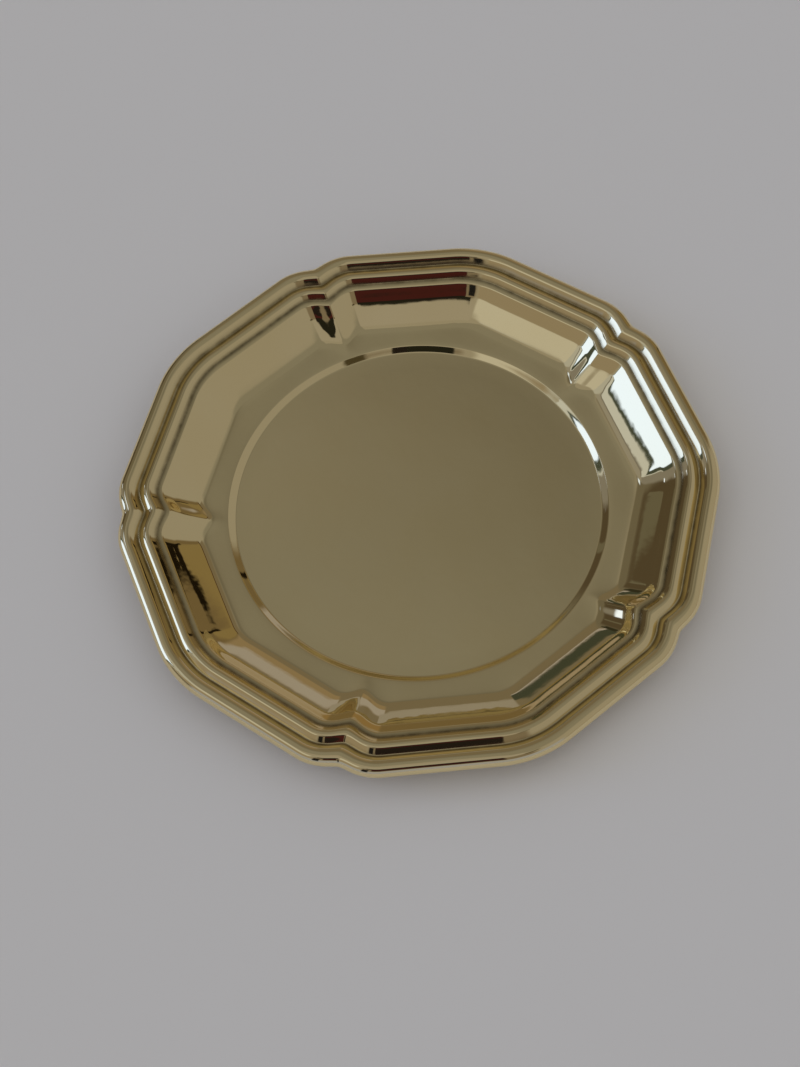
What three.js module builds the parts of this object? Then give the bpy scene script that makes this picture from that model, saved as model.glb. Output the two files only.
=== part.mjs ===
// A five-lobed plate pressed from one sheet of plated brass, with its edge curled round a stiffening wire.
// Millimetres, +Z up. The origin is the centre of the flat face that the plate stands on.
// One notch lies on the +Y axis, and the plate is symmetric about the YZ plane.
//
// Every moulding of the plate follows the same lobed outline. So the plate is described by one section,
// drawn at the middle of a side, where "reach" is the distance from the axis. outlineRadius() then says how
// far from the axis a given reach lies in every other direction, and the section is swept through it.

import * as THREE from 'three';

// The sheet and its wire.
const SHEET = 0.8;
const WIRE_RADIUS = 0.95;

// The outline of the rim.
const LOBES = 5;
const EDGE_REACH = 72.65;            // outermost reach, at the middle of a side
const SIDE_LEAN = degrees(0.94);     // turns each side out towards its notch, past the regular ten-sided form
const CORNER_BLEND_EDGE = 5.5;       // rounding of the corner between two notches, at the edge
const CORNER_BLEND_FOOT = 1.8;       // and at the foot of the wall
const NOTCH_RADIUS = 72.95;          // from the axis to the point of a notch, at the edge
const NOTCH_FALL = 1.143;            // how far the notch's point moves in for each millimetre of reach lost
const NOTCH_WALL_EASE = 0.1;         // and how much less it does so below the top of the wall
const NOTCH_HALF_ANGLE = degrees(5); // half the angle that a notch takes up, seen from the axis
const NOTCH_SOFTNESS_EDGE = degrees(0.45); // rounding of the notch's point, at the edge
const NOTCH_SOFTNESS_FOOT = degrees(0.9);  // and at the foot of the wall
const SHOULDER_BLEND = 2.3;          // rounding where a notch meets the sides

// The section, in reach and in height above the top of the step round the centre disc. Corners are given
// before they are rounded.
const STEP_DROP = 1.15;              // how far the centre disc is pressed below the border round it
const STEP_OUTER = 47.65;
const STEP_INNER = 46.05;
const STEP_FILLET = 0.75;
const FOOT = [53.3, 0.42];           // the border rises a little towards the foot of the wall
const FOOT_FILLET = 6.0;
const WALL_MIDDLE = [56.2, 2.1];     // the lower part of the wall is slightly hollow
const WALL_FILLET = 45.0;
const CREASE = [59.4, 4.25];         // above this the wall is steeper
const CREASE_FILLET = 5.0;
const LEDGE_INNER = [61.95, 6.7];    // top of the wall
const WALL_TOP_FILLET = 1.3;
const LEDGE_OUTER = [63.3, 6.85];
const LEDGE_FILLET = 0.9;
const BEAD_CREST = [65.4, 8.73];     // inner bead
const CREST_FILLET = 1.5;
const VALLEY = [67.7, 6.95];
const VALLEY_FILLET = 0.4;
const ROLL_RADIUS = 2.2;             // outside of the curled edge, which is the outer bead
const ROLL_HEIGHT = 6.7;
const CURL_END = degrees(-135);      // where the curl stops, measured round the wire from the outward side

// Between these reaches the border turns from the round step to the lobed wall.
const ROUND_UNTIL = 48.2;
const LOBED_FROM = 51.6;

// How finely the surfaces are divided.
const COLUMNS_PER_HALF_LOBE = 8;
const COLUMN_CROWDING = 0.6;         // draws columns towards the notches and the corners
const WIRE_SIDES = 8;

const GILT = { color: 0xd9c58f, roughness: 0.08, metalness: 1 };
const WIRE_STEEL = { color: 0x8d8c88, roughness: 0.35, metalness: 1 };

function degrees(value) {
  return value * Math.PI / 180;
}

function smoothMin(a, b, blend) {
  const nearness = Math.max(blend - Math.abs(a - b), 0) / blend;
  return Math.min(a, b) - nearness * nearness * blend / 4;
}

// Distance from the axis to the outline of the given reach, at an angle counted from the nearest notch.
function lobedRadius(fromNotch, reach) {
  const { lerp } = THREE.MathUtils;
  const lobeHalf = Math.PI / LOBES;
  const inset = EDGE_REACH - reach;
  const sideNormal = lobeHalf / 2 + SIDE_LEAN;
  const nearSide = reach / Math.cos(fromNotch - sideNormal);
  const farSide = reach / Math.cos(2 * lobeHalf - fromNotch - sideNormal);
  const footShare = THREE.MathUtils.clamp(inset / (EDGE_REACH - FOOT[0]), 0, 1);
  const cornerBlend = lerp(CORNER_BLEND_EDGE, CORNER_BLEND_FOOT, footShare);
  const softness = lerp(NOTCH_SOFTNESS_EDGE, NOTCH_SOFTNESS_FOOT, footShare);
  const belowWallTop = Math.max(LEDGE_INNER[0] - reach, 0);
  const notchPoint = NOTCH_RADIUS - NOTCH_FALL * inset + NOTCH_WALL_EASE * belowWallTop;
  const mouth = reach / Math.cos(NOTCH_HALF_ANGLE - sideNormal);
  const turn = Math.hypot(fromNotch, softness);
  const flank = notchPoint * mouth * Math.sin(NOTCH_HALF_ANGLE)
    / (mouth * Math.sin(NOTCH_HALF_ANGLE - turn) + notchPoint * Math.sin(turn));
  return smoothMin(smoothMin(nearSide, farSide, cornerBlend), flank, SHOULDER_BLEND);
}

// The same at any reach: round in the middle of the plate, lobed from the foot of the wall outwards.
function outlineRadius(fromNotch, reach) {
  const lobed = THREE.MathUtils.clamp((reach - ROUND_UNTIL) / (LOBED_FROM - ROUND_UNTIL), 0, 1);
  if (lobed === 0) return reach;
  return THREE.MathUtils.lerp(reach, lobedRadius(fromNotch, Math.max(reach, ROUND_UNTIL)), lobed);
}

// Angles round the plate, each with its angle from the nearest notch.
function columns() {
  const lobeHalf = Math.PI / LOBES;
  const list = [];
  for (let half = 0; half < 2 * LOBES; half += 1) {
    for (let step = 0; step < COLUMNS_PER_HALF_LOBE; step += 1) {
      const share = step / COLUMNS_PER_HALF_LOBE;
      const crowded = share - COLUMN_CROWDING * Math.sin(2 * Math.PI * share) / (2 * Math.PI);
      const angle = Math.PI / 2 + (half + crowded) * lobeHalf;
      const fromNotch = half % 2 === 0 ? crowded * lobeHalf : (1 - crowded) * lobeHalf;
      list.push({ angle, fromNotch });
    }
  }
  return list;
}

// A point of the section with the direction that faces out of the sheet there.
function sectionPoint(reach, height, heading) {
  return { reach, height, out: [-Math.sin(heading), Math.cos(heading)] };
}

// An arc that starts at a point with one heading and ends with another. A falling heading bulges outwards.
function arc(reach, height, headingFrom, headingTo, radius, steps) {
  const signed = radius * Math.sign(headingTo - headingFrom);
  const centre = [reach - signed * Math.sin(headingFrom), height + signed * Math.cos(headingFrom)];
  return Array.from({ length: steps + 1 }, (_, i) => {
    const heading = THREE.MathUtils.lerp(headingFrom, headingTo, i / steps);
    return sectionPoint(centre[0] + signed * Math.sin(heading), centre[1] - signed * Math.cos(heading), heading);
  });
}

// A corner of the section, rounded by an arc that touches the straight stretches on both sides of it.
function roundedCorner(before, corner, after, radius, steps) {
  const headingIn = Math.atan2(corner[1] - before[1], corner[0] - before[0]);
  const headingOut = Math.atan2(after[1] - corner[1], after[0] - corner[0]);
  const back = radius * Math.tan(Math.abs(headingOut - headingIn) / 2);
  const reach = corner[0] - back * Math.cos(headingIn);
  const height = corner[1] - back * Math.sin(headingIn);
  return arc(reach, height, headingIn, headingOut, radius, steps);
}

// Where a line from the valley touches the curled edge.
function rollTangent() {
  const toCentre = [EDGE_REACH - ROLL_RADIUS - VALLEY[0], ROLL_HEIGHT - VALLEY[1]];
  const distance = Math.hypot(...toCentre);
  const heading = Math.atan2(toCentre[1], toCentre[0]) + Math.asin(ROLL_RADIUS / distance);
  const length = Math.sqrt(distance * distance - ROLL_RADIUS * ROLL_RADIUS);
  const point = [VALLEY[0] + length * Math.cos(heading), VALLEY[1] + length * Math.sin(heading)];
  return { point, heading };
}

// The upper face of the sheet, from the axis out to the end of the curl.
function upperFace() {
  const centre = [0, -STEP_DROP];
  const stepInner = [STEP_INNER, -STEP_DROP];
  const stepOuter = [STEP_OUTER, 0];
  const roll = rollTangent();
  return [
    sectionPoint(0, -STEP_DROP, 0),
    ...roundedCorner(centre, stepInner, stepOuter, STEP_FILLET, 2),
    ...roundedCorner(stepInner, stepOuter, FOOT, STEP_FILLET, 2),
    ...roundedCorner(stepOuter, FOOT, WALL_MIDDLE, FOOT_FILLET, 3),
    ...roundedCorner(FOOT, WALL_MIDDLE, CREASE, WALL_FILLET, 1),
    ...roundedCorner(WALL_MIDDLE, CREASE, LEDGE_INNER, CREASE_FILLET, 1),
    ...roundedCorner(CREASE, LEDGE_INNER, LEDGE_OUTER, WALL_TOP_FILLET, 2),
    ...roundedCorner(LEDGE_INNER, LEDGE_OUTER, BEAD_CREST, LEDGE_FILLET, 2),
    ...roundedCorner(LEDGE_OUTER, BEAD_CREST, VALLEY, CREST_FILLET, 3),
    ...roundedCorner(BEAD_CREST, VALLEY, roll.point, VALLEY_FILLET, 2),
    ...arc(roll.point[0], roll.point[1], roll.heading, CURL_END - Math.PI / 2, ROLL_RADIUS, 8),
  ];
}

// The lower face is the upper face moved through the sheet.
function lowerFace(upper) {
  return upper.map(({ reach, height, out }) => ({
    reach: Math.max(reach - SHEET * out[0], 0),
    height: height - SHEET * out[1],
  }));
}

function wireSection() {
  return Array.from({ length: WIRE_SIDES }, (_, i) => {
    const turn = -2 * Math.PI * i / WIRE_SIDES;
    return {
      reach: EDGE_REACH - ROLL_RADIUS + WIRE_RADIUS * Math.cos(turn),
      height: ROLL_HEIGHT + WIRE_RADIUS * Math.sin(turn),
    };
  });
}

// Sweeps a closed section round the plate. A section that starts and ends on the axis closes there.
function sweptBody(section) {
  const baseHeight = SHEET + STEP_DROP;
  const around = columns();
  const positions = [];
  const rows = section.map(({ reach, height }) => {
    const onAxis = reach === 0;
    const first = positions.length / 3;
    for (const { angle, fromNotch } of onAxis ? around.slice(0, 1) : around) {
      const radius = outlineRadius(fromNotch, reach);
      positions.push(radius * Math.cos(angle), radius * Math.sin(angle), height + baseHeight);
    }
    return around.map((_, column) => (onAxis ? first : first + column));
  });
  const triangles = [];
  rows.forEach((row, index) => {
    const next = rows[(index + 1) % rows.length];
    around.forEach((_, column) => {
      const beside = (column + 1) % around.length;
      if (next[column] !== next[beside]) triangles.push(row[column], next[column], next[beside]);
      if (row[column] !== row[beside]) triangles.push(row[column], next[beside], row[beside]);
    });
  });
  const geometry = new THREE.BufferGeometry();
  geometry.setAttribute('position', new THREE.Float32BufferAttribute(positions, 3));
  geometry.setIndex(triangles);
  geometry.computeVertexNormals();
  return geometry;
}

function piece(name, section, finish) {
  const mesh = new THREE.Mesh(sweptBody(section), new THREE.MeshStandardMaterial(finish));
  mesh.name = name;
  return mesh;
}

// The pressed plate: centre disc, border, notched wall, ledge, inner bead and curled edge in one sheet.
function pressedPlate() {
  const upper = upperFace();
  return piece('pressed_plate', [...upper, ...lowerFace(upper).reverse()], GILT);
}

// The wire inside the curled edge, bent to the plate's outline.
function edgeWire() {
  return piece('edge_wire', wireSection(), WIRE_STEEL);
}

const plate = new THREE.Group();
plate.add(pressedPlate(), edgeWire());

export default plate;
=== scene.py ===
"""Paten plate: the looks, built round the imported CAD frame.

Blender works in metres, with +Z up and the origin under the middle of the plate.
"""

import math

import bpy
from mathutils import Matrix, Vector


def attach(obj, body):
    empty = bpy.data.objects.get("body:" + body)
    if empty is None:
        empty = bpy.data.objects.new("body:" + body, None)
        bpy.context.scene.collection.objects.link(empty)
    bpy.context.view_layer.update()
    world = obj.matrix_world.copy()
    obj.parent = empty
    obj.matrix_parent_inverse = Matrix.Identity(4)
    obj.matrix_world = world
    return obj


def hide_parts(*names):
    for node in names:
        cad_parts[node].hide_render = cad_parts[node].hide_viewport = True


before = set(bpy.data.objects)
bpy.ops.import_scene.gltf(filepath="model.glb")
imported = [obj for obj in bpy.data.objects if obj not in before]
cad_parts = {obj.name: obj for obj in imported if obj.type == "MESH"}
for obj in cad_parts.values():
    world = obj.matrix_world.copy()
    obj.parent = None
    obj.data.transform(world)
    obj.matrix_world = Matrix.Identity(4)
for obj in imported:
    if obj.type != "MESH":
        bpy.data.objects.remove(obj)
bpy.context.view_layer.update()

MM = 0.001

# ---- the design's own dimensions, in millimetres and radians, as in part.mjs ----

SHEET = 0.8  # thickness of the sheet
WIRE_RADIUS = 0.95

LOBES = 5  # each runs from notch to notch, with a rounded corner between two nearly straight sides
EDGE_REACH = 72.65  # outermost reach, at the middle of a side
SIDE_LEAN = math.radians(0.94)  # turns each side out towards its notch
CORNER_BLEND_EDGE = 5.5
CORNER_BLEND_FOOT = 1.8
NOTCH_RADIUS = 72.95  # from the axis to the point of a notch, at the edge
NOTCH_FALL = 1.143  # how far that point moves in for each millimetre of reach lost
NOTCH_WALL_EASE = 0.1  # and how much less it does so below the top of the wall
NOTCH_HALF_ANGLE = math.radians(5.0)
NOTCH_SOFTNESS_EDGE = math.radians(0.45)
NOTCH_SOFTNESS_FOOT = math.radians(0.9)
SHOULDER_BLEND = 2.3

# The section: corners as (reach, height above the top of the round step), before their fillets.
STEP_DROP = 1.15
STEP_OUTER = 47.65
STEP_INNER = 46.05
STEP_FILLET = 0.75
FOOT = (53.3, 0.42)
FOOT_FILLET = 6.0
WALL_MIDDLE = (56.2, 2.1)
WALL_FILLET = 45.0
CREASE = (59.4, 4.25)
CREASE_FILLET = 5.0
LEDGE_INNER = (61.95, 6.7)
WALL_TOP_FILLET = 1.3
LEDGE_OUTER = (63.3, 6.85)
LEDGE_FILLET = 0.9
BEAD_CREST = (65.4, 8.73)
CREST_FILLET = 1.5
VALLEY = (67.7, 6.95)
VALLEY_FILLET = 0.4
ROLL_RADIUS = 2.2  # outside of the curled edge, which is the outer bead
ROLL_HEIGHT = 6.7
CURL_END = math.radians(-135)  # where the sheet ends, as an angle round the curl's own middle

# Between these reaches the border turns from the round step to the lobed wall.
ROUND_UNTIL = 48.2
LOBED_FROM = 51.6

BASE_HEIGHT = SHEET + STEP_DROP  # the top of the round step above the standing face

VALLEY_SEAM = (68.05, 7.05)  # where the outer bead rises out of the valley
GROOVES = (LEDGE_OUTER, VALLEY_SEAM)  # bottoms of the grooves on both sides of the inner bead
GROOVE_WIDTH = 0.6  # how far the painted shade and the dullness of a groove spread from its bottom

# ---- how finely the visible surface is divided ----

COLUMNS_PER_HALF_LOBE = 48
COLUMN_CROWDING = 0.7  # draws columns towards the notches and the corners
ARC_STEP = math.radians(5.0)
LONGEST_ROW = 1.1  # the widest band of faces on the upper side of the mouldings
SAME_POINT = 1e-6  # points closer than this are one
UNDERSIDE_SKIP = 3  # the underside has every third row of the upper face
DISC_SHARES = (0.0, 0.1, 0.4, 0.7, 0.9)  # rows on the flat disc, as shares of its radius
WIRE_SIDES = 24


def lerp(a, b, share):
    return a + (b - a) * share


def clamp01(value):
    return min(max(value, 0.0), 1.0)


def smooth_min(a, b, blend):
    """The smaller of two values, eased where they are closer together than the blend."""
    nearness = max(blend - abs(a - b), 0.0) / blend
    return min(a, b) - nearness * nearness * blend / 4


def lobed_radius(from_notch, reach):
    """Distance from the axis to the outline of this reach, at an angle counted from the nearest notch."""
    lobe_half = math.pi / LOBES
    inset = EDGE_REACH - reach
    side_normal = lobe_half / 2 + SIDE_LEAN
    near_side = reach / math.cos(from_notch - side_normal)
    far_side = reach / math.cos(2 * lobe_half - from_notch - side_normal)
    foot_share = clamp01(inset / (EDGE_REACH - FOOT[0]))
    corner_blend = lerp(CORNER_BLEND_EDGE, CORNER_BLEND_FOOT, foot_share)
    softness = lerp(NOTCH_SOFTNESS_EDGE, NOTCH_SOFTNESS_FOOT, foot_share)
    notch_point = NOTCH_RADIUS - NOTCH_FALL * inset + NOTCH_WALL_EASE * max(LEDGE_INNER[0] - reach, 0.0)
    mouth = reach / math.cos(NOTCH_HALF_ANGLE - side_normal)
    turn = math.hypot(from_notch, softness)
    flank = (notch_point * mouth * math.sin(NOTCH_HALF_ANGLE)
             / (mouth * math.sin(NOTCH_HALF_ANGLE - turn) + notch_point * math.sin(turn)))
    return smooth_min(smooth_min(near_side, far_side, corner_blend), flank, SHOULDER_BLEND)


def outline_radius(from_notch, reach):
    """The same at any reach: round in the middle of the plate, and lobed from the foot of the wall out."""
    lobed = clamp01((reach - ROUND_UNTIL) / (LOBED_FROM - ROUND_UNTIL))
    if lobed == 0.0:
        return reach
    return lerp(reach, lobed_radius(from_notch, reach), lobed)


def columns():
    """Angles round the plate, each with its angle from the nearest notch."""
    lobe_half = math.pi / LOBES
    found = []
    for half in range(2 * LOBES):
        for step in range(COLUMNS_PER_HALF_LOBE):
            share = step / COLUMNS_PER_HALF_LOBE
            crowded = share - COLUMN_CROWDING * math.sin(2 * math.pi * share) / (2 * math.pi)
            angle = math.pi / 2 + (half + crowded) * lobe_half
            from_notch = (crowded if half % 2 == 0 else 1 - crowded) * lobe_half
            found.append((angle, from_notch))
    return found


def section_point(reach, height, heading):
    """A point of the section with the direction that faces out of the sheet there."""
    return (reach, height, -math.sin(heading), math.cos(heading))


def arc(reach, height, heading_from, heading_to, radius):
    """An arc that starts at a point with one heading and ends with another."""
    steps = max(2, math.ceil(abs(heading_to - heading_from) / ARC_STEP))
    signed = math.copysign(radius, heading_to - heading_from)
    centre = (reach - signed * math.sin(heading_from), height + signed * math.cos(heading_from))
    points = []
    for step in range(steps + 1):
        heading = lerp(heading_from, heading_to, step / steps)
        points.append(section_point(centre[0] + signed * math.sin(heading),
                                    centre[1] - signed * math.cos(heading), heading))
    return points


def rounded_corner(before, corner, after, radius):
    """A corner of the section, rounded by an arc that touches the straight stretches beside it."""
    heading_in = math.atan2(corner[1] - before[1], corner[0] - before[0])
    heading_out = math.atan2(after[1] - corner[1], after[0] - corner[0])
    back = radius * math.tan(abs(heading_out - heading_in) / 2)
    return arc(corner[0] - back * math.cos(heading_in), corner[1] - back * math.sin(heading_in),
               heading_in, heading_out, radius)


def roll_tangent():
    """Where a line from the valley touches the curled edge, and that line's heading."""
    dx, dz = EDGE_REACH - ROLL_RADIUS - VALLEY[0], ROLL_HEIGHT - VALLEY[1]
    distance = math.hypot(dx, dz)
    heading = math.atan2(dz, dx) + math.asin(ROLL_RADIUS / distance)
    length = math.sqrt(distance ** 2 - ROLL_RADIUS ** 2)
    return (VALLEY[0] + length * math.cos(heading), VALLEY[1] + length * math.sin(heading)), heading


def upper_face():
    """The upper face of the sheet, from the axis out to the end of the curl."""
    centre, step_inner, step_outer = (0.0, -STEP_DROP), (STEP_INNER, -STEP_DROP), (STEP_OUTER, 0.0)
    roll, roll_heading = roll_tangent()
    disc = [section_point(share * STEP_INNER, -STEP_DROP, 0.0) for share in DISC_SHARES]
    mouldings = (rounded_corner(centre, step_inner, step_outer, STEP_FILLET)
                 + rounded_corner(step_inner, step_outer, FOOT, STEP_FILLET)
                 + rounded_corner(step_outer, FOOT, WALL_MIDDLE, FOOT_FILLET)
                 + rounded_corner(FOOT, WALL_MIDDLE, CREASE, WALL_FILLET)
                 + rounded_corner(WALL_MIDDLE, CREASE, LEDGE_INNER, CREASE_FILLET)
                 + rounded_corner(CREASE, LEDGE_INNER, LEDGE_OUTER, WALL_TOP_FILLET)
                 + rounded_corner(LEDGE_INNER, LEDGE_OUTER, BEAD_CREST, LEDGE_FILLET)
                 + rounded_corner(LEDGE_OUTER, BEAD_CREST, VALLEY, CREST_FILLET)
                 + rounded_corner(BEAD_CREST, VALLEY, roll, VALLEY_FILLET)
                 + arc(roll[0], roll[1], roll_heading, CURL_END - math.pi / 2, ROLL_RADIUS))
    return disc + spread(mouldings, LONGEST_ROW)


def spread(points, longest):
    """Adds rows so that no band of faces is wider than the longest asked for, and drops repeated points."""
    filled = [points[0]]
    for point in points[1:]:
        last = filled[-1]
        length = math.hypot(point[0] - last[0], point[1] - last[1])
        pieces = math.ceil(length / longest)
        for piece in range(1, pieces):
            filled.append(tuple(lerp(a, b, piece / pieces) for a, b in zip(last, point)))
        if length > SAME_POINT:
            filled.append(point)
    return filled


def lower_face(upper):
    """The lower face is the upper face moved through the sheet."""
    kept = upper[:-1:UNDERSIDE_SKIP] + upper[-1:]
    return [(max(reach - SHEET * out_reach, 0.0), height - SHEET * out_height)
            for reach, height, out_reach, out_height in kept]


def recess_at(reach, height):
    """How deep a point lies in one of the plate's narrow grooves, where the gold is painted darker as shade
    and made duller.
    """
    nearest = min(math.hypot(reach - groove[0], height - groove[1]) for groove in GROOVES)
    return math.exp(-(nearest / GROOVE_WIDTH) ** 2)


def swept_rows(section):
    """Points of the section carried round the plate, the rows they form, and how recessed each one is."""
    around = columns()
    verts, rows, recess = [], [], []
    for reach, height in section:
        on_axis = reach == 0.0
        places = around[:1] if on_axis else around
        first = len(verts)
        for angle, from_notch in places:
            radius = outline_radius(from_notch, reach) * MM
            verts.append((radius * math.cos(angle), radius * math.sin(angle), (height + BASE_HEIGHT) * MM))
            recess.append(recess_at(reach, height))
        rows.append([first if on_axis else first + column for column in range(len(around))])
    return verts, rows, recess


def faces_between(rows):
    """Faces from each row to the next and from the last to the first, with triangles at the axis."""
    faces = []
    for index, row in enumerate(rows):
        following = rows[(index + 1) % len(rows)]
        for column in range(len(row)):
            beside = (column + 1) % len(row)
            if row[column] == row[beside] and following[column] == following[beside]:
                continue
            ring = [row[column], following[column], following[beside], row[beside]]
            faces.append(list(dict.fromkeys(ring)))
    return faces


def swept_body(name, section):
    """One closed piece made by sweeping a section round the plate's outline."""
    verts, rows, recess = swept_rows(section)
    mesh = bpy.data.meshes.new(name)
    mesh.from_pydata(verts, [], faces_between(rows))
    mesh.update()
    mesh.shade_smooth()
    # the recess carries the painted shade and the dullness of the grooves into the material
    mesh.attributes.new("recess", "FLOAT", "POINT").data.foreach_set("value", recess)
    piece = bpy.data.objects.new(name, mesh)
    bpy.context.scene.collection.objects.link(piece)
    return piece


def pressed_plate():
    upper = upper_face()
    section = [(reach, height) for reach, height, _, _ in upper] + lower_face(upper)[::-1]
    return swept_body("plate_skin", section)


def wire_section():
    """The round section of the wire, in the middle of the curled edge."""
    reach, height = EDGE_REACH - ROLL_RADIUS, ROLL_HEIGHT
    turns = [2 * math.pi * side / WIRE_SIDES for side in range(WIRE_SIDES)]
    return [(reach + WIRE_RADIUS * math.cos(turn), height - WIRE_RADIUS * math.sin(turn)) for turn in turns]


def edge_wire():
    return swept_body("wire_skin", wire_section())


# ---- camera: the photograph's viewing angle ----

CAMERA_LENS = 54.05  # in millimetres, as is the sensor's width
CAMERA_SENSOR = 36
CAMERA_CLIP_START = 0.01
CAMERA_DISTANCE = 0.4015
CAMERA_ELEVATION = math.radians(62.64)
CAMERA_AZIMUTH = math.radians(-15.78)
CAMERA_ROLL = math.radians(6.61)
CAMERA_SHIFT_RIGHT = 0.00522
CAMERA_SHIFT_UP = 0.00683


def add_camera():
    """Looks down at the plate and is rolled and moved sideways a little, as a hand-held camera is."""
    turn = Matrix.Rotation(CAMERA_AZIMUTH, 3, "Z")
    right = turn @ Vector((1, 0, 0))
    forward = turn @ Vector((0, math.cos(CAMERA_ELEVATION), -math.sin(CAMERA_ELEVATION)))
    up = right.cross(forward)
    place = (Vector((0, 0, BASE_HEIGHT * MM)) - forward * CAMERA_DISTANCE
             - right * CAMERA_SHIFT_RIGHT - up * CAMERA_SHIFT_UP)
    rolled_right = right * math.cos(CAMERA_ROLL) - up * math.sin(CAMERA_ROLL)
    rolled_up = right * math.sin(CAMERA_ROLL) + up * math.cos(CAMERA_ROLL)
    data = bpy.data.cameras.new("photo_camera")
    data.lens = CAMERA_LENS
    data.sensor_width = CAMERA_SENSOR
    data.clip_start = CAMERA_CLIP_START
    camera = bpy.data.objects.new("photo_camera", data)
    axes = Matrix((rolled_right, rolled_up, -forward)).transposed()
    camera.matrix_world = Matrix.Translation(place) @ axes.to_4x4()
    bpy.context.scene.collection.objects.link(camera)
    bpy.context.scene.camera = camera


# ---- materials ----

def new_material(name):
    material = bpy.data.materials.new(name)
    material.use_nodes = True
    return material, material.node_tree


def add_node(tree, kind, settings=None, inputs=None):
    """A node with its settings, and its inputs given as values or as the sockets that feed them."""
    node = tree.nodes.new(kind)
    for name, value in (settings or {}).items():
        setattr(node, name, value)
    for key, value in (inputs or {}).items():
        if isinstance(value, bpy.types.NodeSocket):
            tree.links.new(value, node.inputs[key])
        else:
            node.inputs[key].default_value = value
    return node


def math_node(tree, operation, *values):
    inputs = dict(enumerate(values))
    return add_node(tree, "ShaderNodeMath", {"operation": operation}, inputs).outputs[0]


def noise(tree, vector, scale, detail=2.0, roughness=0.5):
    inputs = {"Vector": vector, "Scale": scale, "Detail": detail, "Roughness": roughness}
    return add_node(tree, "ShaderNodeTexNoise", None, inputs).outputs["Fac"]


def stretched(tree, vector, factors, turn=0.0):
    """The vector turned and scaled, so that a noise of it is drawn out along one direction."""
    inputs = {"Vector": vector, "Rotation": (0.0, 0.0, turn), "Scale": factors}
    return add_node(tree, "ShaderNodeMapping", None, inputs).outputs["Vector"]


def map_range(tree, value, low, high, to_low, to_high, smooth=False):
    kind = "SMOOTHSTEP" if smooth else "LINEAR"
    inputs = {"Value": value, "From Min": low, "From Max": high, "To Min": to_low, "To Max": to_high}
    return add_node(tree, "ShaderNodeMapRange", {"interpolation_type": kind}, inputs).outputs["Result"]


def mix_colour(tree, share, first, second, blend="MIX"):
    node = add_node(tree, "ShaderNodeMix", {"data_type": "RGBA", "blend_type": blend})
    for socket, value in ((node.inputs[0], share), (node.inputs[6], first), (node.inputs[7], second)):
        if isinstance(value, bpy.types.NodeSocket):
            tree.links.new(value, socket)
        else:
            socket.default_value = (*value, 1.0) if isinstance(value, tuple) else value
    return node.outputs[2]


# Each SCALE is how many times the pattern repeats in a metre, about.

GOLD = (0.905, 0.755, 0.425)
GOLD_WARM = (0.87, 0.70, 0.36)
WARMEST_SHARE = 0.4
DRIFT_SCALE = 45.0
# painted shade: the dark colour the gold is mixed to at the bottoms of the grooves
GROOVE_SHADE_TONE = (0.20, 0.155, 0.075)
GROOVE_ROUGHNESS = 0.25
GROOVE_PATCH_SCALE = 300.0
SMUDGE_SCALE = 60.0
SMUDGE_ROUGHNESS = (0.02, 0.07)
WAVE_HEIGHT = 0.00006  # how far the pressed sheet is from true, over a couple of centimetres
WAVE_SCALE = 55.0
PEEL_HEIGHT = 0.000008  # the same over a couple of millimetres
PEEL_SCALE = 420.0
HAIR_HEIGHT = 0.0000002  # fine lines left by polishing
HAIR_SCALE = 6000.0


def gilt_colour(tree, place, groove_shade_and_dullness):
    """Pale gold that drifts to a warmer tone in patches, and painted shade in the grooves."""
    drift = map_range(tree, noise(tree, place, DRIFT_SCALE, 3.0, 0.55), 0.35, 0.75, 0.0, WARMEST_SHARE)
    # painted shade: the gold is darkened towards this tone in the grooves
    return mix_colour(tree, groove_shade_and_dullness, mix_colour(tree, drift, GOLD, GOLD_WARM), GROOVE_SHADE_TONE)


def gilt_roughness(tree, place, groove_shade_and_dullness):
    """Nearly a mirror, with wiped smudges and dull grooves."""
    wiped = stretched(tree, place, (1.0, 0.45, 1.0), 0.6)
    smudges = map_range(tree, noise(tree, wiped, SMUDGE_SCALE, 5.0, 0.6), 0.4, 0.8, *SMUDGE_ROUGHNESS)
    return math_node(tree, "ADD", smudges, math_node(tree, "MULTIPLY", groove_shade_and_dullness, GROOVE_ROUGHNESS))


def gilt_relief(tree, place):
    """Press waves, small ripples and polishing hairlines, in metres."""
    hairs = stretched(tree, place, (1.0, 0.03, 1.0), 0.25)
    waves = math_node(tree, "MULTIPLY", noise(tree, place, WAVE_SCALE, 1.0, 0.4), WAVE_HEIGHT)
    peel = math_node(tree, "MULTIPLY", noise(tree, place, PEEL_SCALE, 1.0, 0.4), PEEL_HEIGHT)
    lines = math_node(tree, "MULTIPLY", noise(tree, hairs, HAIR_SCALE, 2.0, 0.6), HAIR_HEIGHT)
    return math_node(tree, "ADD", math_node(tree, "ADD", waves, peel), lines)


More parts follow.
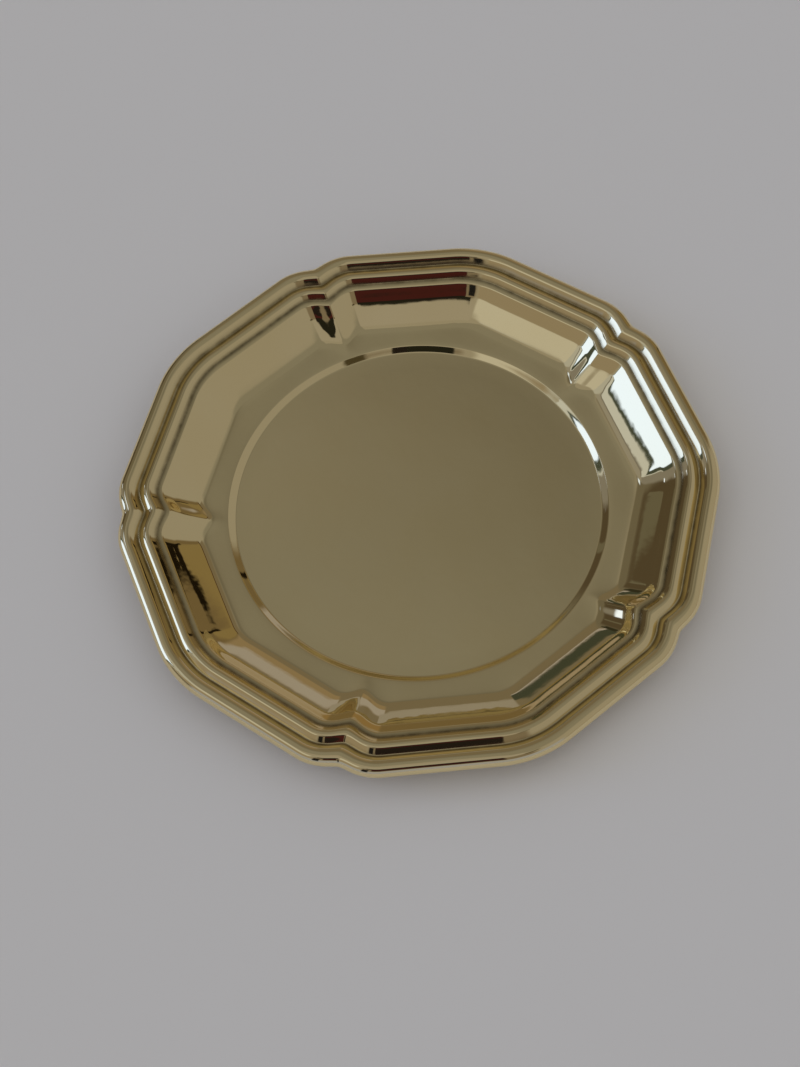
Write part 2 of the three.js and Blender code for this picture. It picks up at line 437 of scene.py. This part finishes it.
def gilt_material():
    """Polished light gold plate: mirror-bright and a little wavy, with smudges, and grooves that are duller
    and painted darker as shade.
    """
    material, tree = new_material("gilt")
    shader = tree.nodes["Principled BSDF"]
    place = add_node(tree, "ShaderNodeTexCoord").outputs["Object"]
    recess = add_node(tree, "ShaderNodeAttribute", {"attribute_name": "recess"}).outputs["Fac"]
    patchy = map_range(tree, noise(tree, place, GROOVE_PATCH_SCALE, 3.0, 0.6), 0.3, 0.7, 0.6, 1.0)
    # painted shade and dullness, strongest at the bottoms of the grooves and patchy along them
    groove_shade_and_dullness = math_node(tree, "MULTIPLY", recess, patchy)
    tree.links.new(gilt_colour(tree, place, groove_shade_and_dullness), shader.inputs["Base Color"])
    shader.inputs["Metallic"].default_value = 1.0
    tree.links.new(gilt_roughness(tree, place, groove_shade_and_dullness), shader.inputs["Roughness"])
    relief = gilt_relief(tree, place)
    bump = add_node(tree, "ShaderNodeBump", None, {"Strength": 1.0, "Distance": 1.0, "Height": relief})
    tree.links.new(bump.outputs["Normal"], shader.inputs["Normal"])
    return material


WIRE_TONE = (0.42, 0.41, 0.39)
WIRE_STAIN = (0.27, 0.2, 0.15)
STAIN_SCALE = 160.0
WIRE_GRAIN_SCALE = 900.0
WIRE_GRAIN_HEIGHT = 0.00001
WIRE_ROUGHNESS = (0.28, 0.5)


def wire_material():
    """Plain drawn steel wire: dull grey with fine lengthwise draw marks and specks of rust tone."""
    material, tree = new_material("wire")
    shader = tree.nodes["Principled BSDF"]
    place = add_node(tree, "ShaderNodeTexCoord").outputs["Object"]
    stain = map_range(tree, noise(tree, place, STAIN_SCALE, 4.0, 0.6), 0.5, 0.75, 0.0, 0.5)
    tree.links.new(mix_colour(tree, stain, WIRE_TONE, WIRE_STAIN), shader.inputs["Base Color"])
    shader.inputs["Metallic"].default_value = 1.0
    grain = noise(tree, stretched(tree, place, (1.0, 1.0, 8.0)), WIRE_GRAIN_SCALE, 3.0, 0.6)
    tree.links.new(map_range(tree, grain, 0.3, 0.7, *WIRE_ROUGHNESS), shader.inputs["Roughness"])
    relief = {"Strength": 0.5, "Distance": WIRE_GRAIN_HEIGHT, "Height": grain}
    bump = add_node(tree, "ShaderNodeBump", None, relief)
    tree.links.new(bump.outputs["Normal"], shader.inputs["Normal"])
    return material


FLOOR_WIDTH = 8.0
FLOOR_TONE = (0.80, 0.775, 0.75, 1.0)
FLOOR_ROUGHNESS = 0.9
FLOOR_SHINE = 0.1
FLOOR_LIGHT = 2.05  # the room lights the floor more than the polished metal shows


def floor_material():
    material, tree = new_material("floor")
    shader = tree.nodes["Principled BSDF"]
    shader.inputs["Base Color"].default_value = FLOOR_TONE
    shader.inputs["Roughness"].default_value = FLOOR_ROUGHNESS
    shader.inputs["Specular IOR Level"].default_value = FLOOR_SHINE
    return material


def add_floor():
    half = FLOOR_WIDTH / 2
    corners = [(-half, -half, 0.0), (half, -half, 0.0), (half, half, 0.0), (-half, half, 0.0)]
    mesh = bpy.data.meshes.new("floor")
    mesh.from_pydata(corners, [], [(0, 1, 2, 3)])
    mesh.materials.append(floor_material())
    floor = bpy.data.objects.new("floor", mesh)
    bpy.context.scene.collection.objects.link(floor)


# ---- the studio: soft cards round the plate, painted on the world ----

BACKDROP = (0.5, 0.49, 0.48)  # what the camera sees beyond the floor
ROOM_BASE = (0.31, 0.30, 0.29)  # the room where no card hangs

# (azimuth, elevation, half width, half height, softness, tilt, colour), angles in degrees. Azimuth runs
# anticlockwise from the camera's right, so that 90 is behind the plate and 270 is behind the camera.
# A card covers those listed before it.
CARDS = {
    "ceiling": (60, 78, 130, 19, 5, 0, (0.229, 0.227, 0.219)),
    "ceiling_shade": (84, 52, 27, 10, 10, -18, (0.153, 0.147, 0.134)),
    "back_wall": (80, 25, 33, 26, 3, 0, (0.175, 0.153, 0.122)),
    "gold_panel": (70, 20, 13, 12, 3, 0, (0.25, 0.20, 0.14)),
    "gold_curtain": (48, 12, 10, 24, 3, 0, (0.155, 0.12, 0.07)),
    "gold_fold": (51, 25, 5.5, 9.5, 1.5, 0, (0.22, 0.175, 0.09)),
    "curtain_edge": (50, 36, 9, 1.3, 0.5, 0, (0.06, 0.03, 0.012)),
    "black_wedge": (45.3, 10, 0.9, 10, 0.4, 0, (0.01, 0.007, 0.004)),
    "horizon_cloth": (69, 9.5, 14, 3, 1.2, 0, (0.33, 0.32, 0.36)),
    "far_cloth": (88, 5, 12, 3, 1, 0, (0.28, 0.27, 0.28)),
    "brown_wall": (127, 24, 19, 32, 4, 0, (0.145, 0.135, 0.115)),
    "brown_chest": (131, 13, 14, 14, 4, 0, (0.08, 0.065, 0.047)),
    "chest_front": (130.2, 18, 1.3, 6, 0.6, 0, (0.13, 0.125, 0.105)),
    "chest_edge": (106, 13, 6, 1.2, 0.5, 0, (0.34, 0.33, 0.39)),
    "chest_foot": (106, 9, 6, 2.8, 0.6, 0, (0.05, 0.06, 0.05)),
    "chest_shadow": (114, 13, 3, 4, 1, 0, (0.03, 0.03, 0.02)),
    "window_side": (150, 26, 8, 18, 2, 0, (0.22, 0.22, 0.24)),
    "side_wall": (154, 48, 10, 7, 3, 0, (0.29, 0.29, 0.31)),
    "above_window": (183, 50, 20, 10, 3, 0, (0.42, 0.45, 0.52)),
    "window_top": (138.5, 49.5, 4.5, 3.5, 1.5, 0, (0.8, 1.0, 1.6)),
    "side_glint": (143, 17, 2, 2, 0.8, 0, (1.0, 1.25, 2.1)),
    "window_rail": (168, 41, 16, 1, 0.4, 0, (0.2, 0.2, 0.22)),
    "window_lintel": (168, 31, 16, 9.4, 0.4, 0, (0.53, 0.59, 0.74)),
    "window_frame": (168, 21, 15, 15.5, 0.5, 0, (0.06, 0.075, 0.07)),
    "window": (169, 21, 12, 14.2, 0.5, 0, (0.95, 1.25, 2.2)),
    "cream_wall": (208, 52, 20, 7, 3, 0, (0.5, 0.51, 0.54)),
    "left_wall": (212, 33, 22, 12, 3, 0, (0.28, 0.25, 0.215)),
    "dark_shelf": (198, 17, 12, 4, 1.5, 8, (0.04, 0.035, 0.03)),
    "near_cloth": (258, 2, 55, 24, 3, 0, (0.32, 0.35, 0.48)),
    "viewer": (262, 64, 34, 9, 4, 0, (0.33, 0.32, 0.32)),
    "sleeve": (266, 40, 30, 13, 3, 0, (0.19, 0.165, 0.14)),
    "elbow": (296, 51, 6, 3, 1.5, 0, (0.06, 0.05, 0.03)),
    "arm": (242.5, 28, 4.5, 14, 1, 0, (0.012, 0.012, 0.014)),
    "phone": (263, 44, 12, 12, 0.8, 0, (0.015, 0.012, 0.012)),
    "phone_case": (263, 42.2, 12, 4.6, 0.8, 0, (0.05, 0.013, 0.014)),
    "phone_top": (253, 52.8, 13, 3.4, 0.8, 0, (0.015, 0.015, 0.012)),
}


def room_angles(tree):
    """The direction looked in, turned so that azimuth counts from the camera's right."""
    direction = add_node(tree, "ShaderNodeTexCoord").outputs["Generated"]
    turned = add_node(tree, "ShaderNodeVectorRotate", {"rotation_type": "Z_AXIS"},
                      {"Vector": direction, "Angle": -CAMERA_AZIMUTH}).outputs["Vector"]
    parts = add_node(tree, "ShaderNodeSeparateXYZ", None, {"Vector": turned})
    return parts.outputs


def card_mask(tree, room, azimuth, elevation, half_width, half_height, softness, tilt):
    """One inside the card and nothing outside it."""
    centre = math.radians(azimuth)
    along = math_node(tree, "ADD", math_node(tree, "MULTIPLY", room[0], math.cos(centre)),
                      math_node(tree, "MULTIPLY", room[1], math.sin(centre)))
    across = math_node(tree, "SUBTRACT", math_node(tree, "MULTIPLY", room[1], math.cos(centre)),
                       math_node(tree, "MULTIPLY", room[0], math.sin(centre)))
    side = math_node(tree, "ARCTAN2", across, along)
    rise = math_node(tree, "SUBTRACT", math_node(tree, "ARCSINE", room[2]), math.radians(elevation))
    slope = math.tan(math.radians(tilt))
    rise = math_node(tree, "SUBTRACT", rise, math_node(tree, "MULTIPLY", side, slope))
    edges = []
    for offset, half in ((side, half_width), (rise, half_height)):
        inside, outside = math.radians(half - softness), math.radians(half + softness)
        distance = math_node(tree, "ABSOLUTE", offset)
        edges.append(map_range(tree, distance, inside, outside, 1.0, 0.0, smooth=True))
    return math_node(tree, "MULTIPLY", *edges)


def add_studio():
    """The metal mirrors the cards, the floor is lit by their grey, and the camera sees a plain backdrop."""
    world = bpy.data.worlds.new("studio")
    bpy.context.scene.world = world
    world.use_nodes = True
    tree = world.node_tree
    room = room_angles(tree)
    colour = ROOM_BASE
    for card in CARDS.values():
        colour = mix_colour(tree, card_mask(tree, room, *card[:-1]), colour, card[-1])
    rays = add_node(tree, "ShaderNodeLightPath").outputs
    grey = add_node(tree, "ShaderNodeRGBToBW", None, {"Color": colour}).outputs["Val"]
    grey = math_node(tree, "MULTIPLY", grey, FLOOR_LIGHT)
    colour = mix_colour(tree, rays["Is Diffuse Ray"], colour, grey)
    colour = mix_colour(tree, rays["Is Camera Ray"], colour, BACKDROP)
    tree.links.new(colour, tree.nodes["Background"].inputs["Color"])


def finish_piece(piece, material, node):
    """Gives a piece its material and lets it stand for its CAD node."""
    piece.data.materials.append(material)
    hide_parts(node)
    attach(piece, "root")


finish_piece(pressed_plate(), gilt_material(), "pressed_plate")
finish_piece(edge_wire(), wire_material(), "edge_wire")
add_floor()
add_studio()
add_camera()
bpy.context.scene.view_settings.view_transform = "Standard"
